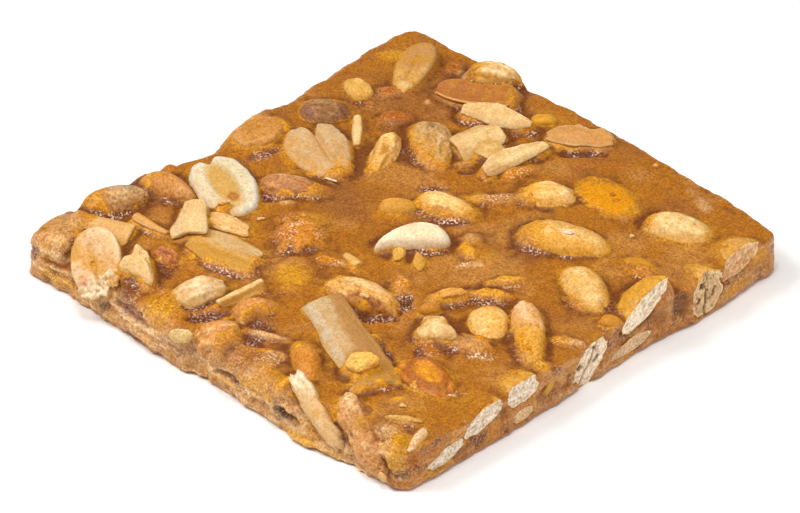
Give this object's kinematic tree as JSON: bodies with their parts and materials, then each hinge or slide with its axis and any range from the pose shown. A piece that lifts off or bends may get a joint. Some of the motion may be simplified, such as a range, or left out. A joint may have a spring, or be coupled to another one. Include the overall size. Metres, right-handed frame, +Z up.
{
  "type": "nut brittle piece",
  "caption": "Square slab of set caramel with peanut kernels, split kernels and coconut shavings sunk in its top; one side is sawn through kernels.",
  "frame": {"origin": "on the underside, below the middle of the slab's outline", "axes": "+Z up through the nut side; +X out of the sawn side that shows cut kernels; -Y out of the rounded front side"},
  "size_m": [0.0934, 0.0965, 0.012],
  "materials": {
    "caramel": "set caramel, satin with small glints, amber where thin and red-brown in hollows",
    "kernel_cream": "bare roasted peanut flesh, matte, finely grained",
    "kernel_golden": "peanut under a thin amber coat, satin",
    "kernel_toasted": "darker toasted peanut, granular with caramel in its pits",
    "coconut": "toasted coconut shaving, fine fibres along it"
  },
  "bodies": {
    "root": {"caramel_slab": "caramel", "kernel_long_gold": "kernel_golden", "kernel_right_cream": "kernel_cream", "kernel_gold_oval": "kernel_golden", "kernel_back_gold": "kernel_golden", "kernel_round_gold": "kernel_golden", "kernel_centre_gold": "kernel_golden", "kernel_streaky": "kernel_toasted", "kernel_ringed": "kernel_toasted", "kernel_front_brown": "kernel_toasted", "kernel_front_leaning": "kernel_toasted", "kernel_low_brown": "kernel_toasted", "kernel_low_ridged": "kernel_toasted", "kernel_low_cream": "kernel_cream", "kernel_red_stub": "kernel_toasted", "kernel_edge_porous": "kernel_toasted", "kernel_edge_smooth": "kernel_toasted", "kernel_middle_brown": "kernel_toasted", "kernel_dark": "kernel_toasted", "kernel_wrinkled": "kernel_golden", "kernel_porous": "kernel_cream", "kernel_back_edge": "kernel_cream", "half_cream": "kernel_cream", "half_heart": "kernel_cream", "half_pink": "kernel_cream", "half_yellow": "kernel_golden", "half_tan": "kernel_cream", "half_amber": "kernel_golden", "half_cracked": "kernel_golden", "half_bean": "kernel_cream", "half_front_strip": "kernel_cream", "chunk_cream": "kernel_cream", "chunk_wedge": "kernel_cream", "chunk_ridge": "kernel_golden", "chunk_on_shaving": "kernel_golden", "chunk_chip": "kernel_cream", "shaving_broad": "coconut", "shaving_flat": "coconut", "shaving_upright": "coconut", "shaving_corner": "coconut", "shaving_corner_wedge": "coconut", "shaving_thin": "coconut", "shaving_brown": "coconut", "shaving_pale": "coconut", "shaving_wide": "coconut", "shaving_long": "coconut", "shaving_mauve": "coconut", "shaving_sliver": "coconut", "sawn_arc": "kernel_cream", "sawn_upper_low": "kernel_cream", "sawn_upper_mid": "kernel_cream", "sawn_round": "kernel_cream", "sawn_double": "kernel_cream", "sawn_top": "kernel_cream", "sawn_under": "kernel_cream", "sawn_big": "kernel_cream", "sawn_corner": "kernel_cream"}
  },
  "joints": []
}
